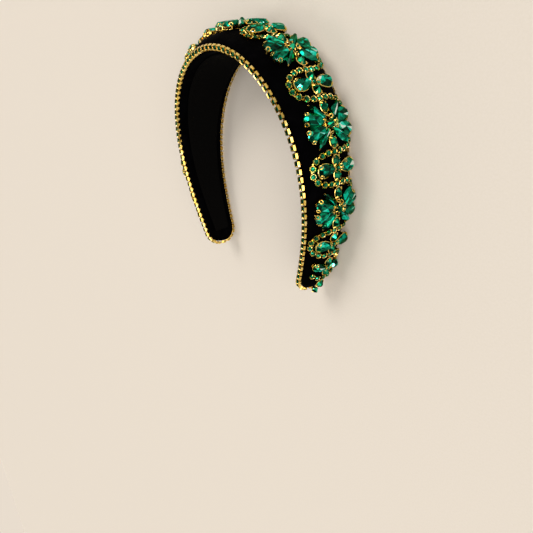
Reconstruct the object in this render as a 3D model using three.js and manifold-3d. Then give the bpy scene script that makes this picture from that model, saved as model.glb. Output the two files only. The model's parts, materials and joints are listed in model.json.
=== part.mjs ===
// A padded velvet headband with a trim of green stones in gold-coloured settings, in millimetres.
// It lies on its rear edge: Z runs to the wearer's front, and the crown is at the low end of Y.

import * as THREE from 'three';
import { mergeVertices } from 'three/addons/utils/BufferGeometryUtils.js';
import Module from 'manifold-3d';

const wasm = await Module();
wasm.setup();

// Driving dimensions. The arch is the inner face's curve from the crown to each tip. Its heading turns by
// turn radians over reach millimetres, and bend above 1 makes it tighter at the crown than at the tips.
const arch = { reach: 179.5, turn: 1.8775, bend: 1.648, tip: 172 };
const band = { crownHalfWidth: 21, taper: 0.0807, edge: 3.6, crownDome: 7.9, domeLoss: 0.0142 };
const tipEnd = { corner: 9, fade: 12 };
const domePower = 2.2;
const lining = { inset: 5, thickness: 1, endInset: 9 };
const edgeChain = { width: 3.2, depth: 2.3, height: 3.1, endGap: 2.9 };
const snakeChain = { width: 3, height: 1.5, lift: 0.5, stationsPerMm: 0.8 };
const gap = 0.35;
const setting = { thickness: 1.4, inset: 0.4, cupRim: 0.3, draft: 0.8, ovalHeight: 2.72 };
const bar = { width: 1.4, overlap: 2.2 };
const stone = { lift: 2.1, height: 2.2, table: 0.55, hubHeight: 1.5 };

// Half of the serpentine chain's span along the spine round each kind of unit, and how far it bulges
// across the band, with the front side positive.
const flowerSpan = { half: 13.8, bulge: -16.6, power: 3 };
const outerFlowerSpan = { half: 13.8, bulge: -15, power: 3 };
const bowSpan = { half: 8.3, bulge: 13.8, power: 2.4 };
const outerBowSpan = { half: 8.3, bulge: 12.8, power: 2.4 };
const endSpan = { half: 9.3, bulge: -11.4, power: 2.4 };
const branch = { length: 8.6 };

const flowerPetals = [
  { kind: 'pear', angle: 73, inner: 3.2, length: 12, width: 7 },
  { kind: 'navette', angle: 46, inner: 2.9, length: 11.8, width: 4 },
];
const flowerOval = { inner: 6.9, length: 4.6, width: 4 };
const flowerHub = { setting: 3.7, stone: 4.6, lift: 0.4 };
const bowPear = { kind: 'pear', angle: 90, inner: 0.8, length: 11.2, width: 7 };
const bowOval = { inner: 1.6, length: 4.5, width: 4 };
const bowHub = { stone: 1.4, lift: 0.3 };
const endFrontPear = { kind: 'pear', angle: 90, inner: 0.6, length: 9.8, width: 5 };
const endRearPear = { kind: 'pear', angle: 90, inner: 0.6, length: 8, width: 5 };
const tipOval = { from: 1.9, length: 4.6, width: 4 };
const tipStone = { from: 9.3, radius: 2.1, height: 2.4, barLength: 5 };
const outerScale = 0.95;

const materials = {
  velvet: new THREE.MeshStandardMaterial({ color: 0x0a0a0b, roughness: 0.95, metalness: 0 }),
  lining: new THREE.MeshStandardMaterial({ color: 0x121113, roughness: 0.85, metalness: 0 }),
  gold: new THREE.MeshStandardMaterial({ color: 0xdfb655, roughness: 0.25, metalness: 1 }),
  stone: new THREE.MeshStandardMaterial({ color: 0x00694f, roughness: 0.08, metalness: 0 }),
};

// The arch, as a table of points a millimetre apart.
function heading(s) {
  const a = Math.abs(s) / arch.reach;
  return arch.turn * (arch.bend * a + (1 - arch.bend) * a ** 3);
}

function curvature(s) {
  const a = Math.abs(s) / arch.reach;
  return (arch.turn * (arch.bend + 3 * (1 - arch.bend) * a * a)) / arch.reach;
}

const archPoints = [new THREE.Vector2(0, 0)];
for (let s = 0.5; s < arch.reach + 10; s += 1) {
  const last = archPoints[archPoints.length - 1];
  archPoints.push(new THREE.Vector2(last.x + Math.cos(heading(s)), last.y + Math.sin(heading(s))));
}

function archPoint(s) {
  const i = Math.floor(Math.abs(s));
  const p = archPoints[i].clone().lerp(archPoints[i + 1], Math.abs(s) - i);
  return new THREE.Vector2(Math.sign(s) * p.x, p.y);
}

// A point at arch length s, z across the band and height out from the inner face.
function bandPoint(s, z, height) {
  const p = archPoint(s);
  const turn = heading(s) * Math.sign(s);
  return new THREE.Vector3(p.x + height * Math.sin(turn), p.y - height * Math.cos(turn), z);
}

function halfWidthAt(s, height) {
  return band.crownHalfWidth - band.taper * bandPoint(s, 0, height).y;
}

// How far the rounded tip draws the edge in.
function tipInset(s) {
  const past = Math.min(Math.abs(s) - (arch.tip - tipEnd.corner), tipEnd.corner);
  return past > 0 ? tipEnd.corner - Math.sqrt(tipEnd.corner ** 2 - past ** 2) : 0;
}

function domeHeight(s) {
  const full = band.crownDome - band.domeLoss * archPoint(s).y;
  const past = Math.min(Math.max(Math.abs(s) - (arch.tip - tipEnd.fade), 0) / tipEnd.fade, 1);
  return full * Math.sqrt(1 - past * past);
}

// A point of the dome's section, from 0 at the top to 1 at the front edge and -1 at the rear one.
function domePoint(s, share) {
  const angle = (Math.min(Math.abs(share), 1) * Math.PI) / 2;
  const height = band.edge + domeHeight(s) * Math.cos(angle) ** (2 / domePower);
  const half = halfWidthAt(s, height) - tipInset(s);
  return bandPoint(s, Math.sign(share) * half * Math.sin(angle) ** (2 / domePower), height);
}

// A point of the outer face at a distance across from the spine, measured along the face.
const sectionSteps = 24;
function facePoint(s, across) {
  let left = Math.abs(across);
  let from = domePoint(s, 0);
  if (left === 0) return from;
  for (let i = 1; i <= sectionSteps; i += 1) {
    const to = domePoint(s, (Math.sign(across) * i) / sectionSteps);
    const step = from.distanceTo(to);
    if (left <= step || i === sectionSteps) {
      return from.clone().addScaledVector(to.clone().sub(from), left / step);
    }
    left -= step;
    from = to;
  }
  return from;
}

const normalReach = 0.6;
function faceNormal(s, across) {
  const along = facePoint(s + normalReach, across).sub(facePoint(s - normalReach, across));
  const over = facePoint(s, across + normalReach).sub(facePoint(s, across - normalReach));
  return along.cross(over).normalize();
}

// Arch length for a distance along the spine, which runs longer because it is further out.
const spineTable = [0];
for (let s = 0.5; s < arch.tip; s += 1) {
  const out = band.edge + domeHeight(s) + 1;
  spineTable.push(spineTable[spineTable.length - 1] + 1 + curvature(s) * out);
}

function archLength(spine) {
  const far = Math.abs(spine);
  const i = spineTable.findIndex((length) => length > far);
  if (i < 0) return Math.sign(spine) * arch.tip;
  const share = (far - spineTable[i - 1]) / (spineTable[i] - spineTable[i - 1]);
  return Math.sign(spine) * (i - 1 + share);
}

// Arch length of a place on the outer face, by its distance along the spine from a unit's centre and
// across from the spine.
function lengthNear(centre, along, across) {
  const s = archLength(centre);
  const height = bandPoint(s, 0, 0).distanceTo(facePoint(s, across).setZ(0));
  return s + along / (1 + curvature(s) * height);
}

function pointNear(centre, along, across) {
  return facePoint(lengthNear(centre, along, across), across);
}

// The frame of a flat piece on the outer face: x away from the unit's centre, z out of the face.
const frameReach = 1;
function radialFrame(centre, angle, radius) {
  const along = Math.cos(angle);
  const across = Math.sin(angle);
  const out = faceNormal(lengthNear(centre, along * radius, across * radius), across * radius);
  const ahead = pointNear(centre, along * (radius + frameReach), across * (radius + frameReach));
  const behind = pointNear(centre, along * (radius - frameReach), across * (radius - frameReach));
  const side = out.clone().cross(ahead.sub(behind)).normalize();
  const away = side.clone().cross(out);
  const frame = new THREE.Matrix4().makeBasis(away, side, out);
  return frame.setPosition(pointNear(centre, along * radius, across * radius));
}

// Outlines, each centred on its own middle with its outer end at +x.
function pearShape(length, width) {
  const radius = width / 2;
  const centre = length / 2 - radius;
  const lean = Math.acos(radius / (length - radius));
  const shape = new THREE.Shape();
  shape.absarc(centre, 0, radius, Math.PI + lean, Math.PI * 3 - lean, false);
  shape.lineTo(-length / 2, 0);
  return shape;
}

function navetteShape(length, width) {
  const shape = new THREE.Shape();
  shape.moveTo(-length / 2, 0);
  shape.quadraticCurveTo(0, -width, length / 2, 0);
  shape.quadraticCurveTo(0, width, -length / 2, 0);
  return shape;
}

function ovalShape(length, width) {
  return new THREE.Shape().absellipse(0, 0, length / 2, width / 2, 0, Math.PI * 2);
}

const outlines = { pear: pearShape, navette: navetteShape, oval: ovalShape };
const outlineSegments = { pear: 3, navette: 2, oval: 4 };

// A flat-bottomed piece on an outline, with its top drawn in to a share of the outline.
function slab(kind, length, width, from, height, top = 1) {
  const options = { depth: height, bevelEnabled: false, curveSegments: outlineSegments[kind] };
  const geometry = new THREE.ExtrudeGeometry(outlines[kind](length, width), options);
  const position = geometry.attributes.position;
  for (let i = 0; i < position.count; i += 1) {
    if (position.getZ(i) > height / 2) {
      position.setXY(i, position.getX(i) * top, position.getY(i) * top);
    }
  }
  return geometry.translate(0, 0, from);
}

function toSolid(geometry) {
  const plain = geometry.clone();
  plain.deleteAttribute('normal');
  plain.deleteAttribute('uv');
  const merged = mergeVertices(plain, 1e-4);
  const vertProperties = new Float32Array(merged.attributes.position.array);
  const triVerts = new Uint32Array(merged.index.array);
  return new wasm.Manifold(new wasm.Mesh({ numProp: 3, vertProperties, triVerts }));
}

function toGeometry(solid) {
  const { vertProperties, triVerts } = solid.getMesh();
  const geometry = new THREE.BufferGeometry();
  geometry.setAttribute('position', new THREE.BufferAttribute(vertProperties, 3));
  geometry.setIndex(new THREE.BufferAttribute(triVerts, 1));
  geometry.computeVertexNormals();
  return geometry;
}

function joined(pieces) {
  return toGeometry(pieces.map(toSolid).reduce((whole, piece) => whole.add(piece)));
}

// A box whose long side follows a route: place gives the point for its share along, across and up.
function bentBox(along, across, place) {
  const geometry = new THREE.BoxGeometry(2, 2, 1, along, across, 1);
  const position = geometry.attributes.position;
  for (let i = 0; i < position.count; i += 1) {
    const p = place(position.getX(i), position.getY(i), position.getZ(i) + 0.5);
    position.setXYZ(i, p.x, p.y, p.z);
  }
  geometry.deleteAttribute('normal');
  geometry.deleteAttribute('uv');
  const merged = mergeVertices(geometry, 1e-4);
  merged.computeVertexNormals();
  return merged;
}

const parts = new THREE.Group();

function addPart(name, geometry, material) {
  const mesh = new THREE.Mesh(geometry, material);
  mesh.name = name;
  parts.add(mesh);
}

// Stations along the arch, closer together near the rounded tips.
const tipCrowding = 1.35;
function station(share, end) {
  return Math.sign(share) * end * (1 - (1 - Math.abs(share)) ** tipCrowding);
}

function makeBand() {
  return bentBox(40, 8, (along, across, up) => {
    const s = station(along, arch.tip);
    const top = domePoint(s, across);
    if (up > 0.5) return top;
    const half = halfWidthAt(s, 0) - tipInset(s);
    const share = top.z / (domePoint(s, 1).z || 1);
    return bandPoint(s, share * half, 0);
  });
}

function makeLining() {
  return bentBox(28, 2, (along, across, up) => {
    const s = along * (arch.tip - lining.endInset);
    const height = up > 0.5 ? -gap : -gap - lining.thickness;
    return bandPoint(s, across * (halfWidthAt(s, 0) - lining.inset), height);
  });
}

// The edge chain's route in the face: along the edge, round the corner and in to the tip's middle.
function edgeRoute(out) {
  const straight = arch.tip - tipEnd.corner;
  const radius = tipEnd.corner + out;
  const corner = (radius * Math.PI) / 2;
  const inward = halfWidthAt(arch.tip, 0) - tipEnd.corner - edgeChain.endGap;
  const total = straight + corner + inward;
  return { straight, radius, corner, total };
}

function edgePoint(share, out, height) {
  const route = edgeRoute(edgeChain.depth / 2 + gap);
  const travelled = Math.abs(share) * route.total;
  const side = Math.sign(share);
  if (travelled <= route.straight) {
    return bandPoint(side * travelled, halfWidthAt(side * travelled, height) + out, height);
  }
  const angle = Math.min((travelled - route.straight) / route.radius, Math.PI / 2);
  const inward = Math.max(travelled - route.straight - route.corner, 0);
  const s = route.straight + (tipEnd.corner + out) * Math.sin(angle);
  const half = halfWidthAt(side * Math.min(s, arch.tip), height) - tipEnd.corner;
  return bandPoint(side * s, half + (tipEnd.corner + out) * Math.cos(angle) - inward, height);
}

function makeEdgeChain(front) {
  return bentBox(60, 1, (along, across, up) => {
    const height = edgeChain.height - (across * edgeChain.width) / 2;
    const out = gap + (front > 0 ? up : 1 - up) * edgeChain.depth;
    const p = edgePoint(station(along, 1), out, height);
    p.z *= front;
    return p;
  });
}

// The units along the spine: a flower at the crown, then bows and flowers in turn, and an end bow.
const period = flowerSpan.half + bowSpan.half;
const units = [{ kind: 'flower', centre: 0, span: flowerSpan, scale: 1 }];
for (let i = 1; i <= 7; i += 1) {
  const isOuter = i >= 6;
  const kind = i % 2 === 0 ? 'flower' : 'bow';
  const outerSpan = { flower: outerFlowerSpan, bow: outerBowSpan }[kind];
  const span = isOuter ? outerSpan : { flower: flowerSpan, bow: bowSpan }[kind];
  const scale = isOuter ? outerScale : 1;
  for (const side of [-1, 1]) {
    units.push({ kind, centre: side * i * period, span, scale });
  }
}
const endCentre = 7 * period + bowSpan.half + endSpan.half;
const lastCrossing = endCentre + endSpan.half;
for (const side of [-1, 1]) {
  units.push({ kind: 'end', centre: side * endCentre, span: endSpan, scale: 1 });
}
units.sort((a, b) => a.centre - b.centre);

// The serpentine chain crosses the spine between units and bulges round each one in turn.
function snakeStations() {
  const stations = [];
  for (const unit of units) {
    const steps = Math.round(unit.span.half * snakeChain.stationsPerMm);
    for (let i = 0; i < steps; i += 1) {
      const angle = (Math.PI * i) / steps;
      const power = 2 / unit.span.power;
      const along = -Math.sign(Math.cos(angle)) * unit.span.half * Math.abs(Math.cos(angle)) ** power;
      const across = unit.span.bulge * Math.sin(angle) ** power;
      stations.push(pointOn(unit.centre, along, across));
    }
  }
  for (const side of [-1, 1]) {
    const free = [0.5, 1].map((share) => pointOn(side * lastCrossing, 0, share * branch.length));
    if (side < 0) stations.unshift(...free.reverse());
    else stations.push(pointOn(lastCrossing, 0, 0), ...free);
  }
  return stations;
}

function pointOn(centre, along, across) {
  const s = lengthNear(centre, along, across);
  return { point: facePoint(s, across), out: faceNormal(s, across) };
}

function makeSnakeChain() {
  const stations = snakeStations();
  const last = stations.length - 1;
  return bentBox(last, 1, (along, across, up) => {
    const i = Math.round(((along + 1) / 2) * last);
    const { point, out } = stations[i];
    const ahead = stations[Math.min(i + 1, last)].point.clone();
    const side = ahead.sub(stations[Math.max(i - 1, 0)].point).cross(out).normalize().negate();
    const lifted = point.clone().addScaledVector(out, snakeChain.lift + up * snakeChain.height);
    return lifted.addScaledVector(side, (across * snakeChain.width) / 2);
  });
}

// The four like places of a petal, or the two of one that lies along or across the spine.
function fourfold(angle) {
  const a = THREE.MathUtils.degToRad(angle);
  if (angle === 0) return [0, Math.PI];
  if (angle === 90) return [a, -a];
  return [a, -a, Math.PI - a, a - Math.PI];
}

// The plate under a petal ends a little inside the stone's edge.
function petalSetting(unit, petal, angle) {
  const length = petal.length * unit.scale - setting.inset;
  const width = petal.width * unit.scale - setting.inset;
  const middle = petal.inner * unit.scale + length / 2;
  const plate = slab(petal.kind, length, width, gap, setting.thickness);
  return plate.applyMatrix4(radialFrame(unit.centre, angle, middle));
}

function petalStone(unit, petal, angle) {
  const middle = (petal.inner + petal.length / 2) * unit.scale;
  const length = petal.length * unit.scale;
  const gem = slab(petal.kind, length, petal.width * unit.scale, stone.lift, stone.height, stone.table);
  return gem.applyMatrix4(radialFrame(unit.centre, angle, middle));
}

function barPiece(length) {
  const piece = new THREE.BoxGeometry(length, bar.width, setting.thickness);
  return piece.translate(0, 0, gap + setting.thickness / 2);
}

// A cup for an oval or round stone, drawn in towards its top.
function cupPiece(length, width, height) {
  return slab('oval', length, width, gap, height, setting.draft);
}

// A bar through a unit's middle that joins what lies at both its ends.
function crossBar(unit, angle, reach) {
  return barPiece(2 * reach).applyMatrix4(radialFrame(unit.centre, angle, 0));
}

// The spine's oval at each end of a unit, with its stone.
function ovalSetting(unit, oval, angle) {
  const length = oval.length + 2 * setting.cupRim;
  const cup = cupPiece(length, oval.width + 2 * setting.cupRim, setting.ovalHeight);
  return cup.applyMatrix4(radialFrame(unit.centre, angle, oval.inner + oval.length / 2));
}

function hub(unit, radius, from, height) {
  const disc = slab('oval', radius * 2, radius * 2, from, height);
  return disc.applyMatrix4(radialFrame(unit.centre, 0, 0));
}

function petalsOf(unit) {
  const each = { flower: flowerPetals, bow: [bowPear], end: [] }[unit.kind];
  const list = each.flatMap((petal) => fourfold(petal.angle).map((angle) => ({ petal, angle })));
  if (unit.kind === 'end') {
    list.push({ petal: endFrontPear, angle: Math.PI / 2 });
    list.push({ petal: endRearPear, angle: -Math.PI / 2 });
  }
  return list;
}

function makeSetting(unit) {
  const isFlower = unit.kind === 'flower';
  const oval = isFlower ? flowerOval : bowOval;
  const pieces = petalsOf(unit).map(({ petal, angle }) => petalSetting(unit, petal, angle));
  const middle = isFlower
    ? hub(unit, flowerHub.setting, gap, setting.thickness)
    : crossBar(unit, Math.PI / 2, bowPear.inner + bar.overlap);
  pieces.push(middle, crossBar(unit, 0, oval.inner + bar.overlap));
  pieces.push(...fourfold(0).map((angle) => ovalSetting(unit, oval, angle)));
  return joined(pieces);
}

function makeStones(unit) {
  const middle = unit.kind === 'flower' ? flowerHub : bowHub;
  const petals = petalsOf(unit).map(({ petal, angle }) => petalStone(unit, petal, angle));
  return joined([hub(unit, middle.stone, stone.lift + middle.lift, stone.hubHeight), ...petals]);
}

// The last oval and the round end stone at a tip, with their settings.
function makeTipStones(side) {
  const angle = side > 0 ? 0 : Math.PI;
  const placed = (piece, radius) => piece.applyMatrix4(radialFrame(side * lastCrossing, angle, radius));
  const ovalMiddle = tipOval.from + tipOval.length / 2;
  const length = tipOval.length + 2 * setting.cupRim;
  const oval = cupPiece(length, tipOval.width + 2 * setting.cupRim, tipStone.height);
  const round = cupPiece(2 * tipStone.radius, 2 * tipStone.radius, tipStone.height);
  return joined([
    placed(oval, ovalMiddle),
    placed(barPiece(tipStone.barLength), (ovalMiddle + tipStone.from) / 2),
    placed(round, tipStone.from),
  ]);
}

addPart('band', makeBand(), materials.velvet);
addPart('inner_lining', makeLining(), materials.lining);
addPart('edge_chain_front', makeEdgeChain(1), materials.gold);
addPart('edge_chain_rear', makeEdgeChain(-1), materials.gold);
addPart('serpentine_chain', makeSnakeChain(), materials.gold);

const counts = { flower: 0, bow: 0, end: 0 };
const unitNames = { flower: 'flower', bow: 'bow', end: 'end_bow' };
for (const unit of units) {
  counts[unit.kind] += 1;
  const name = `${unitNames[unit.kind]}_${counts[unit.kind]}`;
  addPart(`${name}_setting`, makeSetting(unit), materials.gold);
  addPart(`${name}_stones`, makeStones(unit), materials.stone);
}
addPart('tip_stones_right', makeTipStones(1), materials.gold);
addPart('tip_stones_left', makeTipStones(-1), materials.gold);

// The taper puts the rear edge in one slanted plane. Turned level, that edge is what it rests on, and the
// origin is below its middle.
const slant = Math.atan(band.taper);
const rearReach = band.crownHalfWidth + gap + edgeChain.depth;
const headband = new THREE.Group();
parts.rotation.x = -slant;
parts.position.z = rearReach * Math.cos(slant);
headband.add(parts);
const extent = new THREE.Box3().setFromObject(headband, true);
parts.position.y = -(extent.min.y + extent.max.y) / 2;

export default headband;
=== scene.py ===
# A padded velvet headband with a trim of green stones in gold-coloured settings, lying on its rear edge.
import math
import random

import bmesh
import bpy
from mathutils import Matrix, Vector
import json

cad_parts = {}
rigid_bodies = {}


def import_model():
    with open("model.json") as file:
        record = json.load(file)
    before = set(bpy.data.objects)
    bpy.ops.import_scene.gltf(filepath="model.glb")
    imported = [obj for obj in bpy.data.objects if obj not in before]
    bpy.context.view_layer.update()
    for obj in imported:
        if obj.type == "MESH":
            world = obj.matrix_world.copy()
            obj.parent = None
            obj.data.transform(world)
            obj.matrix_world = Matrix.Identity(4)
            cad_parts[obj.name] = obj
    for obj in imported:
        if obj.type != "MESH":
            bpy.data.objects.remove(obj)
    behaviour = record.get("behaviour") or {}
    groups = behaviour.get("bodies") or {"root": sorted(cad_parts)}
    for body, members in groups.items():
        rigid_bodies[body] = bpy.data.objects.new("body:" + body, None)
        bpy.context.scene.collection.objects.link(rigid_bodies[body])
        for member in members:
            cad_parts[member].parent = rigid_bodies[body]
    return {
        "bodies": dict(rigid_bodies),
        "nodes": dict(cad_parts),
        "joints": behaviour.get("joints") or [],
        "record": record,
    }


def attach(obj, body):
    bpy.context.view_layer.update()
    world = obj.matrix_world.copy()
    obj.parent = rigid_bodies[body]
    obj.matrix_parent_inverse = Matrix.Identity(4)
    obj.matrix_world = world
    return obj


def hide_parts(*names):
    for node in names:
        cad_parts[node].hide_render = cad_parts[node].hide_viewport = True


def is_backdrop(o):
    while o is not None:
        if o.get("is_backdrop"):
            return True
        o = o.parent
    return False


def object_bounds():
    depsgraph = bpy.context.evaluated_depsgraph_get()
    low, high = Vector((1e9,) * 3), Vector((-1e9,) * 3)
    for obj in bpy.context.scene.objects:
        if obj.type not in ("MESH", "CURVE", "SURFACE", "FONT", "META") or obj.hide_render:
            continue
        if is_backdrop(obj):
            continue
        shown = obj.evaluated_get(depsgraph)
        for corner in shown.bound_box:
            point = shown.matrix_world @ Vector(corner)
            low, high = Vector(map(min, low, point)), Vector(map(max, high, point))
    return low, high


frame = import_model()
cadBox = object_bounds()
scene = bpy.context.scene
mm = 0.001
print("frame loaded")


# the arch and the outer face, in millimetres, in the form that the solids have
arch = {"reach": 179.5, "turn": 1.8775, "bend": 1.648, "tip": 172.0}
bandForm = {
    "crownHalfWidth": 21.0,
    "taper": 0.0807,
    "edge": 3.6,
    "crownDome": 7.9,
    "domeLoss": 0.0142,
    "domePower": 2.2,
    "wallPower": 7.0,  # rounds the corner where the velvet turns in
    "tipCorner": 9.0,
    "tipFade": 12.0,
}
gap = 0.35
slant = math.atan(bandForm["taper"])
edgeChain = {
    "depth": 2.3,
    "height": 3.1,
    "endGap": 2.9,
    "pitch": 4.0,
    "lift": 0.02,
}
rearReach = bandForm["crownHalfWidth"] + gap + edgeChain["depth"]
footprintMiddle = 61.543  # from the crown's inner face to the middle of the footprint
toFrame = (
    Matrix.Translation((0, -footprintMiddle * mm, rearReach * math.cos(slant) * mm))
    @ Matrix.Rotation(-slant, 4, "X")
    @ Matrix.Scale(mm, 4)
)


def sign(value):
    return math.copysign(1, value) if value else 0


def heading(s):
    a = abs(s) / arch["reach"]
    return arch["turn"] * (arch["bend"] * a + (1 - arch["bend"]) * a**3)


def curvature(s):
    a = abs(s) / arch["reach"]
    return arch["turn"] * (arch["bend"] + 3 * (1 - arch["bend"]) * a * a) / arch["reach"]


archTable = [(0.0, 0.0)]
for step in range(int(arch["reach"]) + 10):
    turn = heading(step + 0.5)
    archTable.append((archTable[-1][0] + math.cos(turn), archTable[-1][1] + math.sin(turn)))


def archPoint(s):
    i = int(abs(s))
    share = abs(s) - i
    (x0, y0), (x1, y1) = archTable[i], archTable[i + 1]
    return sign(s) * (x0 + (x1 - x0) * share), y0 + (y1 - y0) * share


def bandPoint(s, z, height):
    x, y = archPoint(s)
    turn = heading(s) * sign(s)
    return Vector((x + height * math.sin(turn), y - height * math.cos(turn), z))


def halfWidthAt(s, height):
    return bandForm["crownHalfWidth"] - bandForm["taper"] * bandPoint(s, 0, height).y


def tipInset(s):
    corner = bandForm["tipCorner"]
    past = min(abs(s) - (arch["tip"] - corner), corner)
    return corner - math.sqrt(corner**2 - past**2) if past > 0 else 0.0


def domeHeight(s):
    full = bandForm["crownDome"] - bandForm["domeLoss"] * archPoint(s)[1]
    past = min(max(abs(s) - (arch["tip"] - bandForm["tipFade"]), 0) / bandForm["tipFade"], 1)
    return full * math.sqrt(1 - past * past)


def domePoint(s, share):
    angle = min(abs(share), 1) * math.pi / 2
    power = 2 / bandForm["domePower"]
    height = bandForm["edge"] + domeHeight(s) * max(math.cos(angle), 0) ** power
    half = halfWidthAt(s, height) - tipInset(s)
    return bandPoint(s, sign(share) * half * math.sin(angle) ** power, height)


def facePoint(s, across, steps=24):
    left = abs(across)
    start = domePoint(s, 0)
    if left == 0:
        return start
    for i in range(1, steps + 1):
        end = domePoint(s, sign(across) * i / steps)
        step = (end - start).length
        if left <= step or i == steps:
            return start + (end - start) * (left / step)
        left -= step
        start = end
    return start


def faceNormal(s, across, reach=0.6):
    along = facePoint(s + reach, across) - facePoint(s - reach, across)
    over = facePoint(s, across + reach) - facePoint(s, across - reach)
    return along.cross(over).normalized()


spineTable = [0.0]
for step in range(int(arch["tip"])):
    out = bandForm["edge"] + domeHeight(step + 0.5) + 1
    spineTable.append(spineTable[-1] + 1 + curvature(step + 0.5) * out)


def archLength(spine):
    far = abs(spine)
    for i in range(1, len(spineTable)):
        if spineTable[i] > far:
            share = (far - spineTable[i - 1]) / (spineTable[i] - spineTable[i - 1])
            return sign(spine) * (i - 1 + share)
    return sign(spine) * arch["tip"]


def lengthNear(centre, along, across):
    s = archLength(centre)
    flat = facePoint(s, across)
    flat.z = 0
    return s + along / (1 + curvature(s) * (bandPoint(s, 0, 0) - flat).length)


def frameOf(x, side, z, origin):
    placed = Matrix((x, side, z)).transposed().to_4x4()
    placed.translation = origin
    return placed


stiffness = 0.4  # a soldered unit stays flat: this much of the face's turn away from its centre is taken out


def faceFrame(centre, angle, radius, lift=0.0, stiff=stiffness):  # x away from the unit's centre, z out of the face
    def at(r):
        along, across = math.cos(angle) * r, math.sin(angle) * r
        return lengthNear(centre, along, across), across

    s, across = at(radius)
    middle, up = facePoint(archLength(centre), 0), faceNormal(archLength(centre), 0)
    place = facePoint(s, across)
    place += up * (middle - place).dot(up) * stiff
    out = faceNormal(s, across).lerp(up, stiff).normalized()
    ahead = facePoint(*at(radius + 1)) - facePoint(*at(radius - 1))
    side = out.cross(ahead).normalized()
    return frameOf(side.cross(out), side, out, place + out * lift)


# materials
def colour(hexText):
    channels = [int(hexText[i : i + 2], 16) / 255 for i in (1, 3, 5)]
    return (*[c / 12.92 if c <= 0.04045 else ((c + 0.055) / 1.055) ** 2.4 for c in channels], 1)


def addNode(tree, kind, settings=None, links=None):
    node = tree.nodes.new(kind)
    for key, value in (settings or {}).items():
        if isinstance(key, int) or key in node.inputs:
            node.inputs[key].default_value = value
        else:
            setattr(node, key, value)
    for key, source in (links or {}).items():
        tree.links.new(source, node.inputs[key])
    return node


def addRamp(tree, source, stops):
    node = addNode(tree, "ShaderNodeValToRGB", links={"Fac": source})
    node.color_ramp.elements.remove(node.color_ramp.elements[1])
    for i, (place, hexText) in enumerate(stops):
        stop = node.color_ramp.elements[0] if i == 0 else node.color_ramp.elements.new(place)
        stop.position = place
        stop.color = colour(hexText)
    return node.outputs["Color"]


def newMaterial(name):
    material = bpy.data.materials.new(name)
    material.use_nodes = True
    tree = material.node_tree
    tree.nodes.clear()
    output = addNode(tree, "ShaderNodeOutputMaterial")
    shader = addNode(tree, "ShaderNodeBsdfPrincipled")
    tree.links.new(shader.outputs["BSDF"], output.inputs["Surface"])
    coords = addNode(tree, "ShaderNodeTexCoord")
    return material, tree, shader, coords


def setShader(shader, **values):
    for key, value in values.items():
        shader.inputs[key.replace("_", " ")].default_value = value


def makeVelvet():  # cotton velvet: a dense cut pile, black where one looks into it and greyer at a slant
    material, tree, shader, coords = newMaterial("blackCottonVelvet")
    place = coords.outputs["Object"]
    patches = addNode(tree, "ShaderNodeTexNoise", {"Scale": 160.0, "Detail": 3.0}, {"Vector": place})  # 6 mm
    pile = addNode(tree, "ShaderNodeTexNoise", {"Scale": 2600.0, "Detail": 2.0}, {"Vector": place})  # 0.4 mm
    tone = addNode(
        tree,
        "ShaderNodeMath",
        {"operation": "MULTIPLY_ADD", 1: 0.45},
        {0: pile.outputs["Fac"], 2: patches.outputs["Fac"]},
    )
    shade = addRamp(tree, tone.outputs[0], [(0.45, "#000000"), (0.75, "#010102"), (1.0, "#040405")])
    tree.links.new(shade, shader.inputs["Base Color"])
    bump = addNode(
        tree,
        "ShaderNodeBump",
        {"Strength": 0.6, "Distance": 0.00012},
        {"Height": pile.outputs["Fac"]},
    )
    tree.links.new(bump.outputs[0], shader.inputs["Normal"])
    setShader(shader, Roughness=0.95, Sheen_Weight=0.02, Sheen_Roughness=0.3)
    setShader(shader, Sheen_Tint=colour("#7C8699"), Specular_IOR_Level=0.02)
    return material


ribPitch = 1.0  # millimetres


def makeRibbon():  # black grosgrain ribbon: fine ribs that run across the strip
    material, tree, shader, _ = newMaterial("blackGrosgrainRibbon")
    uv = addNode(tree, "ShaderNodeUVMap", {"uv_map": "ribbon"})
    ribs = addNode(
        tree,
        "ShaderNodeTexWave",
        {"bands_direction": "X", "Scale": 2 * math.pi / 20 / (ribPitch * mm), "Distortion": 0.3, "Detail": 1.0},
        {"Vector": uv.outputs[0]},
    )  # at a scale of one, the wave's angle is 20 times the coordinate
    shade = addRamp(tree, ribs.outputs["Fac"], [(0.0, "#040404"), (1.0, "#050505")])
    tree.links.new(shade, shader.inputs["Base Color"])
    bump = addNode(
        tree,
        "ShaderNodeBump",
        {"Strength": 0.3, "Distance": 0.0001},
        {"Height": ribs.outputs["Fac"]},
    )
    tree.links.new(bump.outputs[0], shader.inputs["Normal"])
    setShader(shader, Roughness=0.85, Specular_IOR_Level=0.03)
    return material


def makeGold():  # cast and stamped brass with bright yellow gold plating
    material, tree, shader, coords = newMaterial("yellowGoldPlate")
    place = coords.outputs["Object"]
    wear = addNode(tree, "ShaderNodeTexNoise", {"Scale": 420.0, "Detail": 3.0}, {"Vector": place})  # 2.4 mm
    shade = addRamp(tree, wear.outputs["Fac"], [(0.3, "#E6BC50"), (0.55, "#F4D677"), (0.75, "#FFEFB8")])
    tree.links.new(shade, shader.inputs["Base Color"])
    rough = addNode(
        tree,
        "ShaderNodeMapRange",
        {"To Min": 0.05, "To Max": 0.16},
        {"Value": wear.outputs["Fac"]},
    )
    tree.links.new(rough.outputs[0], shader.inputs["Roughness"])
    bump = addNode(
        tree,
        "ShaderNodeBump",
        {"Strength": 0.25, "Distance": 0.00008},
        {"Height": wear.outputs["Fac"]},
    )
    tree.links.new(bump.outputs[0], shader.inputs["Normal"])
    setShader(shader, Metallic=1.0)
    return material


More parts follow.
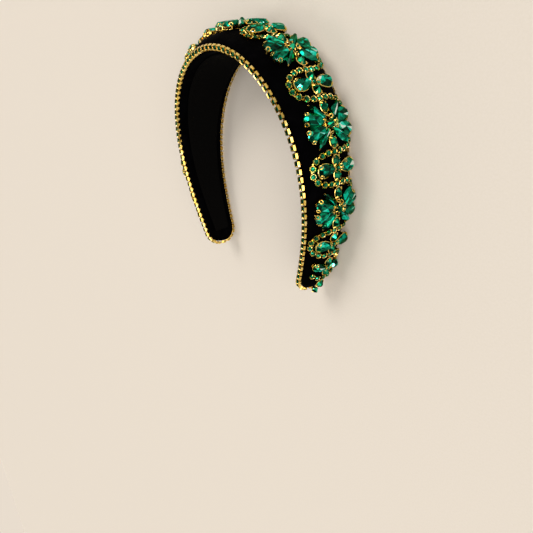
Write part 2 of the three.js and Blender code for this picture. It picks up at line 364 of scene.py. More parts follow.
def makeStone(name, stops):  # cut green glass with a mirror foil behind it; how bright each facet is comes from a painted tone: painted shade, painted reflections and painted glints
    material, tree, shader, coords = newMaterial(name)
    facet = addNode(tree, "ShaderNodeAttribute", {"attribute_name": "facetShadeAndGlint"})
    inner = addNode(
        tree,
        "ShaderNodeTexVoronoi",
        {"Scale": 620.0, "distance": "MANHATTAN"},
        {"Vector": coords.outputs["Object"]},
    )  # painted reflections of the foil's facets seen through the top, about 1.6 mm
    inside = addNode(
        tree,
        "ShaderNodeSeparateColor",
        links={"Color": inner.outputs["Color"]},
    )
    tone = addNode(
        tree,
        "ShaderNodeMix",
        {"data_type": "FLOAT", "Factor": 0.3},
        {2: facet.outputs["Fac"], 3: inside.outputs[0]},
    )
    shade = addRamp(tree, tone.outputs[0], stops)
    tree.links.new(shade, shader.inputs["Base Color"])
    setShader(shader, Metallic=1.0, Roughness=0.1, Specular_Tint=colour("#3FBF95"))
    setShader(shader, Coat_Weight=0.1, Coat_Roughness=0.02, Coat_IOR=1.58)
    return material


velvet = makeVelvet()
ribbon = makeRibbon()
gold = makeGold()
# the emerald's own greens in the middle; the bottom stop is painted shade, the top stops painted highlights and a
# white painted glint
stoneStops = [
    (0.0, "#00120C"),
    (0.3, "#004230"),
    (0.58, "#008968"),
    (0.76, "#00DDC0"),
    (0.88, "#5CFFF6"),
    (1.0, "#F0FFFC"),
]
emerald = makeStone("emeraldFoiledGlass", stoneStops)
# the darker stones' own greens, with painted shade at the bottom stop and a painted highlight at the top
smallStops = [(0.0, "#001A11"), (0.4, "#005037"), (0.75, "#008A60"), (1.0, "#2CE0B4")]
darkEmerald = makeStone("darkEmeraldFoiledGlass", smallStops)
print("materials made")


# shared mesh tools
def onlyVerts(geom):
    return [g for g in geom if isinstance(g, bmesh.types.BMVert)]


def toMesh(bm, name):
    mesh = bpy.data.meshes.new(name)
    bm.to_mesh(mesh)
    bm.free()
    return mesh


def finishPiece(name, bm, materials, nodes=(), sharp=None):
    if sharp is not None:
        for face in bm.faces:
            face.smooth = True
        for edge in bm.edges:
            edge.smooth = edge.calc_face_angle(0) < sharp
    mesh = toMesh(bm, name)
    for material in materials:
        mesh.materials.append(material)
    piece = bpy.data.objects.new(name, mesh)
    scene.collection.objects.link(piece)
    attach(piece, "root")
    if nodes:
        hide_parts(*nodes)
    return piece


def stamp(bm, template, place):
    first = len(bm.faces)
    copy = template.copy()
    copy.transform(toFrame @ place)
    bm.from_mesh(copy)
    bpy.data.meshes.remove(copy)
    return list(bm.faces)[first:]


facetShadeAndGlintTones = [(0.3, 0.06), (0.78, 0.47), (0.95, 0.82), (1.0, 1.35)]  # up to this share of the facets, this tone: painted shade, the glass's own green, painted bright reflection, painted white glint
toneSpread = 0.12
stoneRandom = random.Random(11)


def stampStone(bm, template, place, materialIndex=0, shade=1.0):
    layer = bm.faces.layers.float.get("facetShadeAndGlint")
    for face in stamp(bm, template, place):
        pick = stoneRandom.random()
        tone = next(tone for share, tone in facetShadeAndGlintTones if pick <= share)
        # a shade below one darkens every facet's tone, as painted shade
        face[layer] = max(tone + stoneRandom.uniform(-1, 1) * toneSpread, 0) * shade
        face.material_index = materialIndex


def newStoneMesh():
    bm = bmesh.new()
    bm.faces.layers.float.new("facetShadeAndGlint")
    return bm


def shapeOutline(verts, kind, length, width):  # turns a unit circle into a stone's outline, its outer end at +x
    for v in verts:
        angle = math.atan2(v.co.y, v.co.x)
        across = math.sin(angle)
        if kind == "pear":
            across *= math.cos(angle / 2) * 1.299
        if kind == "navette":
            across *= abs(across)
        v.co.x *= length / 2
        v.co.y = across * width / 2


def sliceOff(bm, point, normal):
    geom = bm.verts[:] + bm.edges[:] + bm.faces[:]
    bmesh.ops.bisect_plane(bm, geom=geom, plane_co=point, plane_no=normal, clear_outer=True, dist=1e-4)
    bmesh.ops.holes_fill(bm, edges=[e for e in bm.edges if e.is_boundary], sides=0)


# cut stones
# each row of facets leans by tilt from the table, and meets the girdle at a share of its height
stoneCut = {
    "outline": 28,
    "girdle": 0.6,
    "table": 2.5,
    "star": 0.15,
    "rows": [
        {"count": 12, "phase": 0.5, "tilt": 66, "from": 0.8},
        {"count": 8, "phase": 0.0, "tilt": 50, "from": 1.0},
    ],
}


def byPlace(centre):  # some steps leave their faces in no fixed order, so they are put in this one
    turn = (math.atan2(centre.y, centre.x) + 0.1) % (2 * math.pi)
    return round(centre.z, 2) * 1000 + round(turn, 2)


def putInOrder(bm):
    bm.verts.sort(key=lambda v: byPlace(v.co))
    bm.faces.sort(key=lambda f: byPlace(f.calc_center_median()))


def makeStoneTemplate(kind, length, width, cut=stoneCut, table=None):
    bm = bmesh.new()
    bmesh.ops.create_circle(bm, cap_ends=True, segments=cut["outline"], radius=1)
    shapeOutline(bm.verts, kind, length, width)
    bmesh.ops.remove_doubles(bm, verts=bm.verts[:], dist=0.02)
    outline = [v.co.copy() for v in bm.verts]
    top = bmesh.ops.extrude_face_region(bm, geom=bm.faces[:])
    bmesh.ops.translate(bm, verts=onlyVerts(top["geom"]), vec=(0, 0, 4))
    bmesh.ops.recalc_face_normals(bm, faces=bm.faces[:])
    for row in cut["rows"]:
        tilt = math.radians(row["tilt"])
        for i in range(row["count"]):
            turn = 2 * math.pi * (i + row["phase"]) / row["count"]
            outward = Vector((math.cos(turn), math.sin(turn), 0))
            reach = max(p.dot(outward) for p in outline)
            start = outward * reach + Vector((0, 0, cut["girdle"] * row["from"]))
            sliceOff(bm, start, outward * math.sin(tilt) + Vector((0, 0, math.cos(tilt))))
    height = table or cut["table"]
    sliceOff(bm, Vector((0, 0, height)), Vector((0, 0, 1)))
    flat = [f for f in bm.faces if min(v.co.z for v in f.verts) > height - 0.01]
    bmesh.ops.poke(bm, faces=flat, offset=cut["star"])
    bmesh.ops.recalc_face_normals(bm, faces=bm.faces[:])
    putInOrder(bm)
    return toMesh(bm, f"stone_{kind}")


# settings: a low cup on the stone's outline, with a waist, a rim and a seat
cupForm = {
    "segments": 16,
    "rim": -0.55,
    "foot": 0.35,
    "levels": [(0.4, 0.0), (1.1, 0.58), (0.35, 0.05)],  # rise, and how far the wall moves out
    "lip": 0.2,
    "seat": 0.25,
}


def makeCupTemplate(kind, length, width, segments=cupForm["segments"]):
    bm = bmesh.new()
    bmesh.ops.create_circle(bm, cap_ends=True, segments=segments, radius=1)
    shapeOutline(bm.verts, kind, length + 2 * cupForm["rim"], width + 2 * cupForm["rim"])
    bmesh.ops.remove_doubles(bm, verts=bm.verts[:], dist=0.02)
    bmesh.ops.translate(bm, verts=bm.verts[:], vec=(0, 0, cupForm["foot"]))
    bm.faces.ensure_lookup_table()
    face = bm.faces[0]
    for rise, spread in cupForm["levels"]:
        top = bmesh.ops.extrude_face_region(bm, geom=[face])["geom"]
        verts = onlyVerts(top)
        bmesh.ops.translate(bm, verts=verts, vec=(0, 0, rise))
        bmesh.ops.scale(bm, verts=verts, vec=(1 + 2 * spread / length, 1 + 2 * spread / width, 1))
        face = next(g for g in top if isinstance(g, bmesh.types.BMFace))
    bmesh.ops.inset_region(bm, faces=[face], thickness=cupForm["lip"])
    bmesh.ops.translate(bm, verts=face.verts[:], vec=(0, 0, -cupForm["seat"]))
    bmesh.ops.recalc_face_normals(bm, faces=bm.faces[:])
    return toMesh(bm, f"cup_{kind}")


# a spine oval, and a bow's pear, has a round wire about its girdle
rimWire = {"oval": (0.27, 0.3), "pear": (0.2, 0.15), "sides": 5, "steps": 20, "rise": 0.3}  # radius, out


def makeWireTemplate(kind, length, width):
    bm = bmesh.new()
    form = rimWire
    radius, out = form[kind]
    wire = bmesh.ops.create_circle(bm, segments=form["sides"], radius=radius)["verts"]
    bmesh.ops.rotate(bm, verts=wire, cent=(0, 0, 0), matrix=Matrix.Rotation(math.pi / 2, 3, "X"))
    bmesh.ops.translate(bm, verts=wire, vec=(width / 2 + out, 0, form["rise"]))
    bmesh.ops.spin(
        bm,
        geom=bm.verts[:] + bm.edges[:],
        cent=(0, 0, 0),
        axis=(0, 0, 1),
        angle=2 * math.pi,
        steps=form["steps"],
        use_merge=True,
    )
    if kind == "pear":
        for v in bm.verts:
            v.co.y *= math.cos(math.atan2(v.co.y, v.co.x) / 2) * 1.299
    longer = (length / 2 + out) / (width / 2 + out)
    bmesh.ops.scale(bm, verts=bm.verts[:], vec=(longer, 1, 1))
    bmesh.ops.recalc_face_normals(bm, faces=bm.faces[:])
    return toMesh(bm, f"wire_{kind}")


def addBox(bm, size, middle, lean=0.0, axis="Y"):
    made = bmesh.ops.create_cube(bm, size=1)["verts"]
    bmesh.ops.scale(bm, verts=made, vec=size)
    bmesh.ops.rotate(bm, verts=made, cent=(0, 0, 0), matrix=Matrix.Rotation(lean, 3, axis))
    bmesh.ops.translate(bm, verts=made, vec=middle)


# a claw is a strap bent up the cup's side, with a small loop over the stone's edge
clawForm = {"loop": 1.0, "wire": 0.29, "sweep": 300, "steps": 9, "lean": 50, "strap": (0.28, 0.6, 1.7)}


def makeClawTemplate():
    bm = bmesh.new()
    wire = bmesh.ops.create_circle(bm, cap_ends=True, segments=5, radius=clawForm["wire"])["verts"]
    bmesh.ops.rotate(bm, verts=wire, cent=(0, 0, 0), matrix=Matrix.Rotation(math.pi / 2, 3, "X"))
    bmesh.ops.translate(bm, verts=wire, vec=(clawForm["loop"], 0, 0))
    sweep = math.radians(clawForm["sweep"])
    start = Matrix.Rotation(math.pi - sweep / 2, 3, "Z")
    bmesh.ops.rotate(bm, verts=wire, cent=(0, 0, 0), matrix=start)
    everything = bm.verts[:] + bm.edges[:] + bm.faces[:]
    bmesh.ops.spin(bm, geom=everything, cent=(0, 0, 0), axis=(0, 0, 1), angle=sweep, steps=clawForm["steps"])
    lean = Matrix.Rotation(math.radians(clawForm["lean"]), 3, "Y")
    bmesh.ops.rotate(bm, verts=bm.verts[:], cent=(0, 0, 0), matrix=lean)
    foot = lean @ Vector((clawForm["loop"], 0, 0))
    addBox(bm, clawForm["strap"], foot - Vector((0, 0, clawForm["strap"][2] / 2)))
    bmesh.ops.recalc_face_normals(bm, faces=bm.faces[:])
    return toMesh(bm, "claw")


prongForm = {"foot": 0.26, "tip": 0.16, "length": 1.1, "lean": -52}


def addProng(bm, reach, turn, z, form=prongForm, size=1.0):  # a short bar bent in over the stone's edge
    made = bmesh.ops.create_cone(
        bm,
        cap_ends=True,
        segments=4,
        radius1=form["foot"] * size,
        radius2=form["tip"] * size,
        depth=form["length"] * size,
    )["verts"]
    bmesh.ops.rotate(bm, verts=made, cent=(0, 0, 0), matrix=Matrix.Rotation(math.radians(form["lean"]), 3, "Y"))
    bmesh.ops.translate(bm, verts=made, vec=(reach, 0, z))
    bmesh.ops.rotate(bm, verts=made, cent=(0, 0, 0), matrix=Matrix.Rotation(turn, 3, "Z"))


def makeProngTemplate():
    bm = bmesh.new()
    addProng(bm, 0, 0, 0)
    return toMesh(bm, "prong")


# cup chain: small cups with a stone each, joined by links
chainCup = {
    "edge": {"width": 3.3, "foot": 3.1, "height": 1.55, "segments": 8, "stone": 1.2},
    "snake": {"width": 3.5, "foot": 2.9, "height": 1.55, "segments": 8, "prong": 1.45, "stone": 1.42},
    "lip": 0.28,
    "seat": 0.3,
    "link": (1.3, 0.7, 0.45),
    "pitch": 4.0,
}


# the edge chain's cup has a lobe on each side in place of prongs, bent in over the stone
edgeCupForm = {"lobe": (2.7, 0.4, 1.15), "reach": 1.45, "rise": 1.4, "lean": 35}


def makeChainCup(kind):
    form = chainCup[kind]
    bm = bmesh.new()
    corner = math.pi / form["segments"]
    made = bmesh.ops.create_cone(
        bm,
        cap_ends=True,
        segments=form["segments"],
        radius1=form["foot"] / 2 / math.cos(corner),
        radius2=form["width"] / 2 / math.cos(corner),
        depth=form["height"],
    )["verts"]
    bmesh.ops.rotate(bm, verts=made, cent=(0, 0, 0), matrix=Matrix.Rotation(corner, 3, "Z"))
    bmesh.ops.translate(bm, verts=made, vec=(0, 0, form["height"] / 2))
    face = max(bm.faces, key=lambda f: f.calc_center_median().z)
    bmesh.ops.inset_region(bm, faces=[face], thickness=chainCup["lip"])
    bmesh.ops.translate(bm, verts=face.verts[:], vec=(0, 0, -chainCup["seat"]))
    if kind == "edge":
        for side in (-1, 1):
            lobe = edgeCupForm["lobe"]
            lean = math.radians(side * edgeCupForm["lean"])
            place = (0, side * edgeCupForm["reach"], edgeCupForm["rise"])
            addBox(bm, lobe, place, lean, "X")
    else:
        for i in range(4):
            addProng(bm, form["prong"], math.pi * (i + 0.5) / 2, form["height"] + 0.1, size=0.78)
    addBox(bm, chainCup["link"], (chainCup["pitch"] / 2, 0, 0.45))
    return toMesh(bm, f"chainCup_{kind}")


def makeChainStone(kind):
    form = chainCup[kind]
    bm = bmesh.new()
    reach = form["stone"]
    bmesh.ops.create_cone(bm, cap_ends=True, segments=8, radius1=reach, radius2=reach * 0.98, depth=0.3)
    rows = [(0.72, 0.42)]
    face = max(bm.faces, key=lambda f: f.calc_center_median().z)
    for share, rise in rows:
        top = bmesh.ops.extrude_face_region(bm, geom=[face])["geom"]
        bmesh.ops.scale(bm, verts=onlyVerts(top), vec=(share, share, 1))
        bmesh.ops.translate(bm, verts=onlyVerts(top), vec=(0, 0, rise))
        face = next(g for g in top if isinstance(g, bmesh.types.BMFace))
    bmesh.ops.poke(bm, faces=[face], offset=0.04)
    bmesh.ops.translate(bm, verts=bm.verts[:], vec=(0, 0, form["height"] - chainCup["seat"] + 0.15))
    bmesh.ops.recalc_face_normals(bm, faces=bm.faces[:])
    putInOrder(bm)
    return toMesh(bm, f"chainStone_{kind}")


print("stone, cup and claw shapes made")


# the units along the spine, in the order that they lie, in millimetres and degrees
flowerSpan = {"half": 13.8, "bulge": -16.6, "power": 3.0}
outerFlowerSpan = {"half": 13.8, "bulge": -15.0, "power": 3.0}
bowSpan = {"half": 8.3, "bulge": 13.8, "power": 2.4}
outerBowSpan = {"half": 8.3, "bulge": 12.8, "power": 2.4}
endSpan = {"half": 9.3, "bulge": -11.4, "power": 2.4}
outerScale = 0.95
petals = {
    "flower": [
        {"kind": "pear", "angles": (71.5, 108.5, -71.5, -108.5), "inner": 2.4, "length": 13.2, "width": 7.6},
        {"kind": "navette", "angles": (43, 137, -43, -137), "inner": 2.2, "length": 12.7, "width": 4.6},
    ],
    "bow": [{"kind": "pear", "angles": (90, -90), "inner": 0.7, "length": 11.7, "width": 7.0, "rim": 1.1}],
    "end": [
        {
            "kind": "pear",
            "angles": (90,),
            "toCrown": 14,
            "inner": 0.6,
            "length": 10.3,
            "width": 5.4,
            "rim": 0.7,
            "claws": (150, -150, -40),
        },
        {"kind": "pear", "angles": (-90,), "inner": 0.6, "length": 8.0, "width": 5.4, "rim": 0.7, "claws": (150, -150, -40)},
    ],
}
spineOval = {
    "flower": {"inner": 6.1, "length": 5.5, "width": 4.5},
    "bow": {"inner": 1.2, "length": 5.1, "width": 4.5},
}
hubForm = {"flower": {"width": 4.4, "lift": 0.9}, "bow": {"width": 2.0, "lift": 0.75}}
plateForm = {"thickness": 0.6, "bar": 0.6}
clawPlaces = {"pear": (38, -38, 142, -142), "navette": (140,)}
neckClaw = 4.4  # how far out a unit's bar has a claw of its own, between its ovals and its middle

period = flowerSpan["half"] + bowSpan["half"]
units = [{"kind": "flower", "centre": 0.0, "span": flowerSpan, "scale": 1.0}]
for i in range(1, 8):
    kind = "flower" if i % 2 == 0 else "bow"
    inner, outer = {"flower": (flowerSpan, outerFlowerSpan), "bow": (bowSpan, outerBowSpan)}[kind]
    span, scale = (outer, outerScale) if i >= 6 else (inner, 1.0)
    units += [{"kind": kind, "centre": side * i * period, "span": span, "scale": scale} for side in (-1, 1)]
endCentre = 7 * period + bowSpan["half"] + endSpan["half"]
lastCrossing = endCentre + endSpan["half"]
units += [{"kind": "end", "centre": side * endCentre, "span": endSpan, "scale": 1.0} for side in (-1, 1)]
units.sort(key=lambda unit: unit["centre"])


# the padded band
velvetForm = {"around": 44, "stations": 170, "tipCrowding": 1.35, "levels": 1}
# the velvet swells under its padding, and is held where the trim is sewn on and down its walls
paddingForm = {
    "pressure": 4.0,
    "mass": 1e-5,
    "tension": 0.1,
    "frames": 16,
    "cap": 0.3,
    "wall": 0.5,
    "sewn": 3.0,
}


def sectionPoint(s, angle):
    across, up = math.cos(angle), math.sin(angle)
    dome = up >= 0
    power = 2 / (bandForm["domePower"] if dome else bandForm["wallPower"])
    rise = abs(up) ** power
    height = bandForm["edge"] + (domeHeight(s) * rise if dome else -bandForm["edge"] * rise)
    half = halfWidthAt(s, height) - tipInset(s)
    return bandPoint(s, sign(across) * half * abs(across) ** power, height)


def isHeld(point, sewnPlaces):
    return any((point - place).length < paddingForm["sewn"] * mm for place in sewnPlaces)


def swell(piece, held):  # runs the padding as cloth under pressure, and keeps the shape that it takes
    form = paddingForm
    group = piece.vertex_groups.new(name="held")
    group.add(held, 1.0, "REPLACE")
    cloth = piece.modifiers.new("padding", "CLOTH")
    cloth.settings.vertex_group_mass = group.name
    cloth.settings.mass = form["mass"]
    cloth.settings.tension_stiffness = cloth.settings.compression_stiffness = form["tension"]
    cloth.settings.use_pressure = True
    cloth.settings.uniform_pressure_force = form["pressure"]
    cloth.settings.effector_weights.gravity = 0
    cloth.collision_settings.use_collision = False
    cloth.point_cache.frame_end = form["frames"]
    for number in range(1, form["frames"] + 1):
        scene.frame_set(number)
    solved = piece.evaluated_get(bpy.context.evaluated_depsgraph_get()).data
    largest = 0.0
    for vertex, moved in zip(piece.data.vertices, [v.co.copy() for v in solved.vertices]):
        shift = moved - vertex.co
        largest = max(largest, shift.length)
        if shift.length > 0:
            shift *= math.tanh(shift.length / mm / form["cap"]) * form["cap"] * mm / shift.length
        vertex.co += shift
    piece.modifiers.remove(cloth)
    piece.vertex_groups.remove(group)
    scene.frame_set(1)
    print(f"velvet swelled by up to {largest / mm:.2f} mm before its cap")


def makeBand():
    form = velvetForm
    bm = bmesh.new()
    bmesh.ops.create_cone(bm, cap_ends=True, segments=form["around"], radius1=1, radius2=1, depth=2)
    lengthwise = [e for e in bm.edges if abs(e.verts[0].co.z - e.verts[1].co.z) > 1]
    bmesh.ops.subdivide_edges(bm, edges=lengthwise, cuts=form["stations"] - 1, use_grid_fill=True)
    sewnPlaces = [toFrame @ facePoint(archLength(unit["centre"] + side * unit["span"]["half"] / 2), 0)
                  for unit in units for side in (-1, 0, 1)]
    held = []
    bm.verts.ensure_lookup_table()
    for v in bm.verts:
        share = min(abs(v.co.z), 1)
        s = sign(v.co.z) * arch["tip"] * (1 - (1 - share) ** form["tipCrowding"])
        angle = math.atan2(v.co.y, v.co.x)
        v.co = toFrame @ sectionPoint(s, angle)
        if math.sin(angle) < paddingForm["wall"] or isHeld(v.co, sewnPlaces):
            held.append(v.index)
    bmesh.ops.recalc_face_normals(bm, faces=bm.faces[:])
    piece = finishPiece("velvetBand", bm, [velvet], ["band"], sharp=math.pi)
    swell(piece, held)
    smooth = piece.modifiers.new("smooth", "SUBSURF")
    smooth.levels = smooth.render_levels = form["levels"]
    return piece


makeBand()
print("velvet band made")


# the ribbon inside
ribbonForm = {"stations": 120, "across": 8, "inset": 5.0, "thickness": 1.0, "endInset": 9.0, "bevel": 0.25}


def makeLining():
    form = ribbonForm
    bm = bmesh.new()
    bmesh.ops.create_grid(bm, x_segments=form["stations"], y_segments=form["across"], size=1)
    uv = bm.loops.layers.uv.new("ribbon")
    reach = arch["tip"] - form["endInset"]
    for face in bm.faces:
        for loop in face.loops:
            loop[uv].uv = (loop.vert.co.x * reach * mm, loop.vert.co.y * bandForm["crownHalfWidth"] * mm)
    top = onlyVerts(bmesh.ops.extrude_face_region(bm, geom=bm.faces[:])["geom"])
    bmesh.ops.translate(bm, verts=top, vec=(0, 0, 1))
    for v in bm.verts:
        s = v.co.x * reach
        height = -gap - form["thickness"] * (1 - v.co.z)
        v.co = toFrame @ bandPoint(s, v.co.y * (halfWidthAt(s, 0) - form["inset"]), height)
    bmesh.ops.recalc_face_normals(bm, faces=bm.faces[:])
    edges = [e for e in bm.edges if e.calc_face_angle(0) > 1]
    offset = form["bevel"] * mm
    bmesh.ops.bevel(bm, geom=edges, offset=offset, affect="EDGES", segments=2, profile=0.5, material=-1)
    return finishPiece("ribbonLining", bm, [ribbon], ["inner_lining"], sharp=0.8)


makeLining()
print("ribbon lining made")


# the cup chain on each edge
def edgePoint(travelled, out, height):
    corner = bandForm["tipCorner"]
    straight = arch["tip"] - corner
    radius = corner + gap + edgeChain["depth"] / 2
    side, far = sign(travelled), abs(travelled)
    if far <= straight:
        s = side * far
        return bandPoint(s, halfWidthAt(s, height) + out, height)
    angle = min((far - straight) / radius, math.pi / 2)
    inward = max(far - straight - radius * math.pi / 2, 0)
    s = straight + (corner + out) * math.sin(angle)
    half = halfWidthAt(side * min(s, arch["tip"]), height) - corner
    return bandPoint(side * s, half + (corner + out) * math.cos(angle) - inward, height)


def edgeLength():
    corner = bandForm["tipCorner"]
    turn = (corner + gap + edgeChain["depth"] / 2) * math.pi / 2
    inward = halfWidthAt(arch["tip"], 0) - corner - edgeChain["endGap"]
    return arch["tip"] - corner + turn + inward


def edgeFrame(travelled, front):
    def at(t, out):
        p = edgePoint(t, out, edgeChain["height"])
        p.z *= front
        return p

    foot = at(travelled, gap)
    out = (at(travelled, gap + edgeChain["depth"]) - foot).normalized()
    along = at(travelled + 0.5, gap) - at(travelled - 0.5, gap)
    side = out.cross(along).normalized()
    return frameOf(side.cross(out), side, out, foot + out * edgeChain["lift"])


edgeCup = makeChainCup("edge")
edgeStone = makeChainStone("edge")


def makeEdgeChain(name, front):
    cups, stones = bmesh.new(), newStoneMesh()
    reach = edgeLength()
    count = round(2 * reach / edgeChain["pitch"])
    stops = [reach * (2 * (i + 0.5) / count - 1) for i in range(count)]
    if front > 0:  # this chain closes the gap in the middle of each tip
        stops += [-reach - edgeChain["endGap"], reach + edgeChain["endGap"]]
    for stop in stops:
        place = edgeFrame(stop, front)
        stamp(cups, edgeCup, place)
        # painted shade: the edge chain's stones are darkened, as they lie deep in their cups
        stampStone(stones, edgeStone, place, shade=0.55)
    finishPiece(f"{name}Cups", cups, [gold], [f"edge_chain_{name[4:].lower()}"], sharp=0.7)
    finishPiece(f"{name}Stones", stones, [darkEmerald])


makeEdgeChain("edgeFront", 1)
makeEdgeChain("edgeRear", -1)
print("edge chains made")


# the serpentine chain
snakeForm = {
    "lift": 0.3,
    "pitch": 3.95,
    "samples": 96,
    "branch": [(0.9, 4.2), (2.9, 7.7)],  # from the last crossing: toward the crown, and out to the front edge
}
snakeCup = makeChainCup("snake")
snakeStone = makeChainStone("snake")


def spanPoint(span, angle):
    power = 2 / span["power"]
    along = -sign(math.cos(angle)) * span["half"] * abs(math.cos(angle)) ** power
    return along, span["bulge"] * max(math.sin(angle), 0) ** power


def onFace(centre, along, across):
    s = lengthNear(centre, along, across)
    return facePoint(s, across), faceNormal(s, across)


def spanPlaces(unit):  # evenly spaced places on a unit's half loop, from its first crossing
    samples = snakeForm["samples"]
    route = [spanPoint(unit["span"], math.pi * i / samples) for i in range(samples + 1)]
    travelled = [0.0]
    for (x0, y0), (x1, y1) in zip(route, route[1:]):
        travelled.append(travelled[-1] + math.hypot(x1 - x0, y1 - y0))
    count = round(travelled[-1] / snakeForm["pitch"])
    for i in range(count):
        goal = travelled[-1] * i / count
        k = next(j for j in range(samples) if travelled[j + 1] >= goal)
        share = (goal - travelled[k]) / (travelled[k + 1] - travelled[k])
        (x0, y0), (x1, y1) = route[k], route[k + 1]
        yield (x0 + (x1 - x0) * share, y0 + (y1 - y0) * share), (x1 - x0, y1 - y0)


def snakeFrame(centre, place, direction):
    (along, across), (dx, dy) = place, direction
    length = math.hypot(dx, dy)
    point, out = onFace(centre, along, across)
    ahead = onFace(centre, along + dx / length, across + dy / length)[0] - point
    side = out.cross(ahead).normalized()
    return frameOf(side.cross(out), side, out, point + out * snakeForm["lift"])


def makeSerpentine():
    cups, stones = bmesh.new(), newStoneMesh()
    places = [snakeFrame(unit["centre"], *where) for unit in units for where in spanPlaces(unit)]
    places.append(snakeFrame(lastCrossing, (0, 0), (0, 1)))
    for side in (-1, 1):
        before = (0, 0)
        for back, out in snakeForm["branch"]:
            along = -side * back
            toBefore = (before[0] - along, before[1] - out)
            places.append(snakeFrame(side * lastCrossing, (along, out), toBefore))
            before = (along, out)
    for place in places:
        stamp(cups, snakeCup, place)
        stampStone(stones, snakeStone, place)
    finishPiece("serpentineCups", cups, [gold], ["serpentine_chain"], sharp=0.7)
    finishPiece("serpentineStones", stones, [darkEmerald])
    print(f"serpentine chain made, {len(places)} cups")


makeSerpentine()


# flowers, bows and end bows
claw = makeClawTemplate()
prong = makeProngTemplate()
templates = {}


def cached(maker, kind, length, width, **more):
    key = (maker.__name__, kind, round(length, 2), round(width, 2))
    if key not in templates:
        templates[key] = maker(kind, length, width, **more)
    return templates[key]


def seatHeight():
    return cupForm["foot"] + sum(rise for rise, _ in cupForm["levels"]) - cupForm["seat"]


def outlineSpot(kind, length, width, degrees):  # a place on a stone's outline, and the way out from it
    def at(angle):
        across = math.sin(angle)
        if kind == "pear":
            across *= math.cos(angle / 2) * 1.299
        return Vector((math.cos(angle) * length / 2, across * width / 2, 0))

    angle = math.radians(degrees)
    along = (at(angle + 0.02) - at(angle - 0.02)).normalized()
    return at(angle), Vector((along.y, -along.x, 0))


def addCup(settings, stones, frame, kind, length, width, materialIndex=0, lift=0.0, rim=0.0):
    raised = frame @ Matrix.Translation((0, 0, lift))
    stamp(settings, cached(makeCupTemplate, kind, length + rim, width + rim), raised)
    gem = cached(makeStoneTemplate, kind, length, width)
    stampStone(stones, gem, raised @ Matrix.Translation((0, 0, seatHeight())), materialIndex)
    return raised


def addClaws(settings, frame, kind, length, width, places=None):
    for degrees in places or clawPlaces[kind]:
        spot, out = outlineSpot(kind, length, width, degrees)
        top = spot + Vector((0, 0, seatHeight() + 0.95)) - out * 0.15
        stamp(settings, claw, frame @ frameOf(out, Vector((-out.y, out.x, 0)), Vector((0, 0, 1)), top))


def addProngs(settings, frame, length, width, turns, size=1.0):
    for degrees in turns:
        turn = math.radians(degrees)
        spot = Vector((math.cos(turn) * length / 2, math.sin(turn) * width / 2, seatHeight() + 0.75))
        place = Matrix.Translation(spot) @ Matrix.Rotation(turn, 4, "Z") @ Matrix.Scale(size, 4)
        stamp(settings, prong, frame @ place)


def addWire(settings, frame, kind, length, width):
    raised = frame @ Matrix.Translation((0, 0, seatHeight()))
    stamp(settings, cached(makeWireTemplate, kind, length, width), raised)


def addBar(settings, frame, length):
    bm = bmesh.new()
    addBox(bm, (length, plateForm["bar"], plateForm["thickness"]), (0, 0, gap + plateForm["thickness"] / 2))
    template = toMesh(bm, "bar")
    stamp(settings, template, frame)


def makeUnit(unit, name, nodeName):
    kind, centre, scale = unit["kind"], unit["centre"], unit["scale"]
    settings, stones = bmesh.new(), newStoneMesh()
    for petal in petals[kind]:
        length, width = petal["length"] * scale, petal["width"] * scale
        middle = petal["inner"] * scale + length / 2
        for degrees in petal["angles"]:
            turn = degrees + sign(centre) * petal.get("toCrown", 0)
            frame = faceFrame(centre, math.radians(turn), middle)
            addCup(settings, stones, frame, petal["kind"], length, width, rim=petal.get("rim", 0))
            addClaws(settings, frame, petal["kind"], length, width, petal.get("claws"))
            if kind == "bow":
                addWire(settings, frame, petal["kind"], length, width)
            if petal["kind"] == "navette":
                addProngs(settings, frame, length, width, (0, 180))
    oval = spineOval["flower" if kind == "flower" else "bow"]
    for turn in (0, math.pi):
        frame = faceFrame(centre, turn, oval["inner"] + oval["length"] / 2)
        addCup(settings, stones, frame, "oval", oval["length"], oval["width"], 1, lift=-0.3, rim=1.0)
        addWire(settings, frame @ Matrix.Translation((0, 0, -0.3)), "oval", oval["length"], oval["width"])
        addProngs(settings, frame, oval["length"] + 0.4, oval["width"] + 0.4, (42, 138, 222, 318), size=1.4)
        if kind == "flower":
            neck = faceFrame(centre, turn, neckClaw, lift=seatHeight() + 0.6)
            stamp(settings, claw, neck)
    middleFrame = faceFrame(centre, 0, 0)
    hub = hubForm["flower" if kind == "flower" else "bow"]
    raised = addCup(settings, stones, middleFrame, "oval", hub["width"], hub["width"], 1, hub["lift"])
    if kind == "flower":
        addProngs(settings, raised, hub["width"], hub["width"], range(0, 360, 60))
    addBar(settings, middleFrame, 2 * (oval["inner"] + 1))
    addBar(settings, middleFrame @ Matrix.Rotation(math.pi / 2, 4, "Z"), 2 * (petals[kind][0]["inner"] + 2))
    finishPiece(f"{name}Setting", settings, [gold], [f"{nodeName}_setting"], sharp=0.7)
    finishPiece(f"{name}Stones", stones, [emerald, darkEmerald], [f"{nodeName}_stones"])


counts = {"flower": 0, "bow": 0, "end": 0}
for unit in units:
    counts[unit["kind"]] += 1
    number = counts[unit["kind"]]
    name = {"flower": "flower", "bow": "bow", "end": "endBow"}[unit["kind"]] + str(number)
    nodeName = {"flower": "flower", "bow": "bow", "end": "end_bow"}[unit["kind"]] + f"_{number}"
    makeUnit(unit, name, nodeName)
print("flowers and bows made")


# the oval and the round end stone at each tip
tipForm = {
    "oval": {"from": 1.7, "length": 5.4, "width": 5.0},
    "round": {"from": 9.3, "width": 4.0},
    "stiff": 0.6,
    "toFront": 0.48,  # radians that the tail leans from the spine
}


